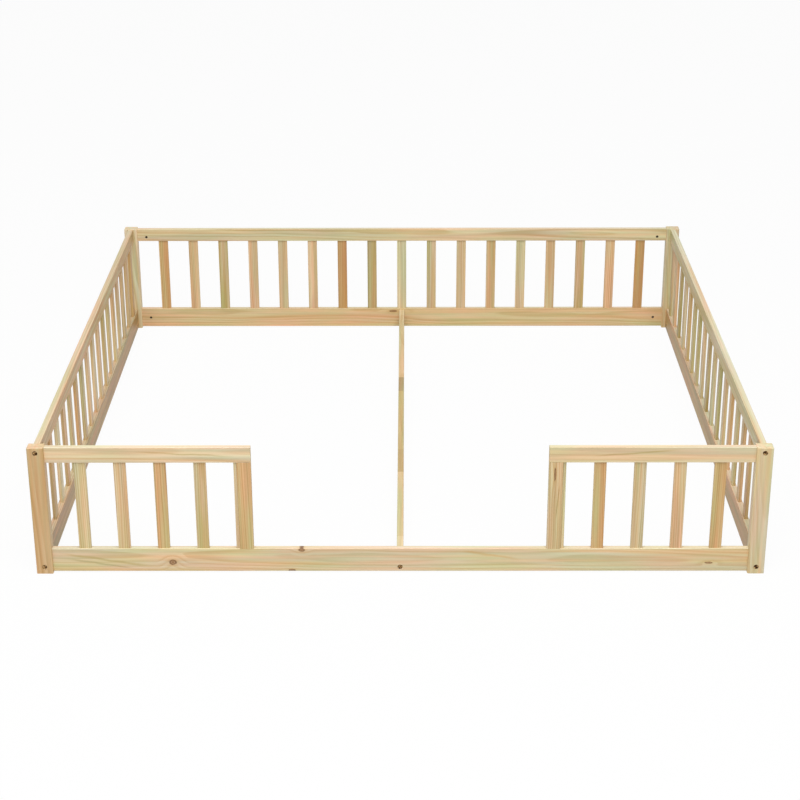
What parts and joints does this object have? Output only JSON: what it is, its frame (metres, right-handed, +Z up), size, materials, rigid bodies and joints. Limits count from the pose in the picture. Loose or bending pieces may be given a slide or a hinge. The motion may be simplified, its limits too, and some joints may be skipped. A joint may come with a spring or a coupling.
{
  "type": "low floor-bed frame",
  "caption": "Low pine floor-bed frame: corner posts, a slatted fence on every side, an open doorway at the front and a centre beam on the floor.",
  "frame": {"origin": "on the floor at the centre of the frame's footprint", "axes": "+X along the front to the right, +Y from the doorway to the back, +Z up"},
  "size_m": [2.119, 2.028, 0.402],
  "materials": {
    "pine": "sanded, bare",
    "slat_pine": "sanded, bare",
    "bolt_steel": "yellow zinc plating",
    "nut_steel": "plain zinc plating",
    "dowel_beech": "fluted, bare"
  },
  "bodies": {
    "root": {"front_left_post": "pine", "front_right_post": "pine", "back_left_post": "pine", "back_right_post": "pine", "back_top_rail": "pine", "back_bottom_rail": "pine", "left_top_rail": "pine", "left_bottom_rail": "pine", "right_top_rail": "pine", "right_bottom_rail": "pine", "front_bottom_rail": "pine", "front_left_top_rail": "pine", "front_right_top_rail": "pine", "left_end_post": "pine", "right_end_post": "pine", "centre_beam": "pine", "back_slat_01": "slat_pine", "back_slat_02": "slat_pine", "back_slat_03": "slat_pine", "back_slat_04": "slat_pine", "back_slat_05": "slat_pine", "back_slat_06": "slat_pine", "back_slat_07": "slat_pine", "back_slat_08": "slat_pine", "back_slat_09": "slat_pine", "back_slat_10": "slat_pine", "back_slat_11": "slat_pine", "back_slat_12": "slat_pine", "back_slat_13": "slat_pine", "back_slat_14": "slat_pine", "back_slat_15": "slat_pine", "back_slat_16": "slat_pine", "back_slat_17": "slat_pine", "front_left_slat_1": "slat_pine", "front_left_slat_2": "slat_pine", "front_left_slat_3": "slat_pine", "front_left_slat_4": "slat_pine", "front_left_slat_5": "slat_pine", "front_right_slat_1": "slat_pine", "front_right_slat_2": "slat_pine", "front_right_slat_3": "slat_pine", "front_right_slat_4": "slat_pine", "front_right_slat_5": "slat_pine", "left_slats": "slat_pine", "right_slats": "slat_pine", "side_rail_bolts": "bolt_steel", "cross_rail_bolts": "bolt_steel", "beam_bolts": "bolt_steel", "side_rail_barrel_nuts": "nut_steel", "cross_rail_barrel_nuts": "nut_steel", "beam_barrel_nuts": "nut_steel", "rail_dowels": "dowel_beech", "end_post_dowels": "dowel_beech"}
  },
  "joints": []
}
